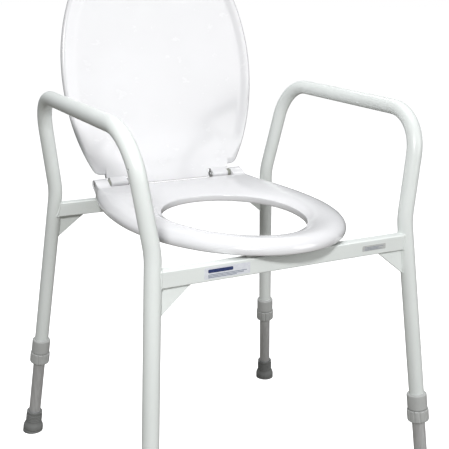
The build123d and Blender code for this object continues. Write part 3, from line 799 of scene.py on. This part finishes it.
def gusset_welds(corner):
    """Beads down the leg and along the rail on both faces of a gusset."""
    side, end = CORNERS[corner]
    rail = "front" if end < 0 else "rear"
    low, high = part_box(f"gusset_{corner}")
    point, down = leg_line(corner)
    rake = Vector((0, down.y, down.z)).normalized()
    face = Vector((1, 0, 0)).cross(rake)
    top = RAIL_BOX[rail][0].z
    start = point + down * ((top - point.z) / down.z)
    down_leg = (LEG_BEAD_GAPS[0], high.z - low.z - LEG_BEAD_GAPS[1])
    along_rail = (TUBE_R + GUSSET_BEAD_GAPS[0], TUBE_R + GUSSET_ALONG_RAIL - GUSSET_BEAD_GAPS[1])
    beads = []
    for way in (-1, 1):
        shift = face * (GUSSET_FACE * way)
        leg_path, rail_path = [], []
        for t in np.linspace(*down_leg, LEG_BEAD_POINTS):
            place = start + rake * t + shift
            leg_path.append((leg_surface_x(corner, place.y, place.z), place.y, place.z))
        for t in np.linspace(*along_rail, GUSSET_BEAD_POINTS):
            rail_path.append((start.x - side * t, start.y + shift.y, top - GUSSET_BEAD_DROP))
        beads.append(bead(leg_path, LEG_BEAD_R, (0, 1, 0), closed=False))
        beads.append(bead(rail_path, GUSSET_BEAD_R, (0, 1, 0), closed=False))
    return beads


def make_welds():
    for corner in CORNERS:
        mesh = joined(f"weld_{corner}", [rail_weld(corner)] + gusset_welds(corner))
        piece = new_piece(f"weld_{corner}", mesh, "powder_coat", "frame")


# ------------------------------------------------------------------ rubber feet
# Distances run down the leg from the ground, so they are negative above it.
FOOT_SIDES = 72
FOOT_TOP = -45.5 * MM
FOOT_SOLE = -11 * MM          # the bore's end
FOOT_BELOW = 5 * MM           # where the turned shape ends, before it is cut level with the ground
FOOT_CORE = 0.5 * MM          # radius of the fine hole in the middle of the sole
FOOT_RIBS = 4
FLARE_STEPS = 8


def turned(profile, origin, axis):
    """Rings of a surface of revolution about an axis, from (radius, distance) points."""
    axis = Vector(axis).normalized()
    across = axis.cross(Vector((0, 1, 0))).normalized()
    other = axis.cross(across)
    rings = []
    for a in np.linspace(0, 2 * math.pi, FOOT_SIDES + 1)[:-1]:
        ring_way = across * math.cos(a) + other * math.sin(a)
        rings.append([Vector(origin) + axis * t + ring_way * r for r, t in profile])
    return rings


def foot_profile():
    """Closed outline of a ribbed rubber ferrule: up the inside, over the lip and down the outside."""
    bore, lip, waist, foot = 11.15 * MM, 15.0 * MM, 15.6 * MM, 19.4 * MM   # radii
    points = [(bore, FOOT_SOLE), (bore, FOOT_TOP + 0.8 * MM), (bore + 0.8 * MM, FOOT_TOP)]
    points += [(lip - 1.0 * MM, FOOT_TOP), (lip, FOOT_TOP + 1.0 * MM), (lip, FOOT_TOP + 4.5 * MM)]
    points += [(lip - 0.6 * MM, FOOT_TOP + 5.3 * MM)]
    for k in range(FOOT_RIBS):
        rib = FOOT_TOP + (7.0 + 3.6 * k) * MM
        points += [(waist - 0.9 * MM, rib), (waist - 0.9 * MM, rib + 1.2 * MM), (waist, rib + 1.9 * MM)]
        points += [(waist, rib + 2.9 * MM)]
    for t in np.linspace(0, 1, FLARE_STEPS):
        radius = waist - 0.4 * MM + (foot - waist) * eased(t)
        points.append((radius, FOOT_TOP + (22.5 + 11.0 * t) * MM))
    points += [(foot, FOOT_TOP + 36.0 * MM), (foot, -8.0 * MM), (foot - 0.8 * MM, -7.0 * MM)]
    points += [(foot - 0.8 * MM, -5.4 * MM), (foot, -4.6 * MM), (foot, FOOT_BELOW)]
    points += [(FOOT_CORE, FOOT_BELOW), (FOOT_CORE, FOOT_SOLE)]
    return points


def cut_level(mesh):
    """Cuts away what is below the ground, and closes the cut."""
    work = bmesh.new()
    work.from_mesh(mesh)
    everything = work.verts[:] + work.edges[:] + work.faces[:]
    cut = bmesh.ops.bisect_plane(
        work, geom=everything, plane_co=(0, 0, 0), plane_no=(0, 0, -1), clear_outer=True
    )
    rim = [e for e in cut["geom_cut"] if isinstance(e, bmesh.types.BMEdge)]
    bmesh.ops.holes_fill(work, edges=rim)
    bmesh.ops.recalc_face_normals(work, faces=work.faces)
    work.to_mesh(mesh)
    work.free()


def make_feet():
    for corner in CORNERS:
        point, down = leg_line(corner)
        ground = point - down * (point.z / down.z)
        mesh = grid_mesh(f"foot_{corner}", turned(foot_profile(), ground, down))
        cut_level(mesh)
        piece = new_piece(f"foot_{corner}", mesh, "foot_rubber", f"leg_{corner}")
        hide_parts(f"leg_ferrule_{corner}")


# ------------------------------------------------------------------ print on the stickers
BAR_ROUNDING = 0.6            # corner radius, as a share of half the bar's height
BAR_PROUD = 0.06 * MM
BAR_SUNK = 0.05 * MM
BAR_CORNER_POINTS = 6


def printed_bar(label, left, right, low, high):
    """Flat rounded bar of ink on a sticker; places are shares of the sticker's face."""
    corner, far_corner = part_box(label)
    size = far_corner - corner
    middle_x = corner.x + size.x * (left + right) / 2
    middle_z = corner.z + size.z * (low + high) / 2
    half_x, half_z = size.x * (right - left) / 2, size.z * (high - low) / 2
    outline = rounded_box(half_x, half_z, BAR_ROUNDING * min(half_x, half_z), BAR_CORNER_POINTS)
    rings = []
    for y in (corner.y - BAR_PROUD, corner.y + BAR_SUNK):
        rings.append([(middle_x + x, y, middle_z + z) for x, z in outline])
    return grid_mesh("bar", rings, closed_run=False, caps=True)


def make_print():
    """Plain bars in place of lettering."""
    band = [(0.08, 0.62, 0.52, 0.84)]
    lines = [(0.08, 0.92, 0.32, 0.39), (0.08, 0.86, 0.20, 0.27), (0.08, 0.70, 0.08, 0.15)]
    end_lines = [(0.10, 0.90, 0.60, 0.70), (0.10, 0.72, 0.36, 0.46), (0.10, 0.84, 0.14, 0.24)]
    for name, label, ink, slot, bars in (
        ("label_band", "rail_label", "label_ink", "label_main", band),
        ("label_lines", "rail_label", "label_grey_ink", "label_main", lines),
        ("end_label_lines", "rail_end_label", "label_grey_ink", "label_end", end_lines),
    ):
        mesh = joined(name, [printed_bar(label, *bar) for bar in bars])
        new_piece(name, mesh, ink, "frame")


make_camera()
make_studio()
dress_cad_nodes()
make_seat()
make_lid()
make_welds()
make_feet()
make_print()
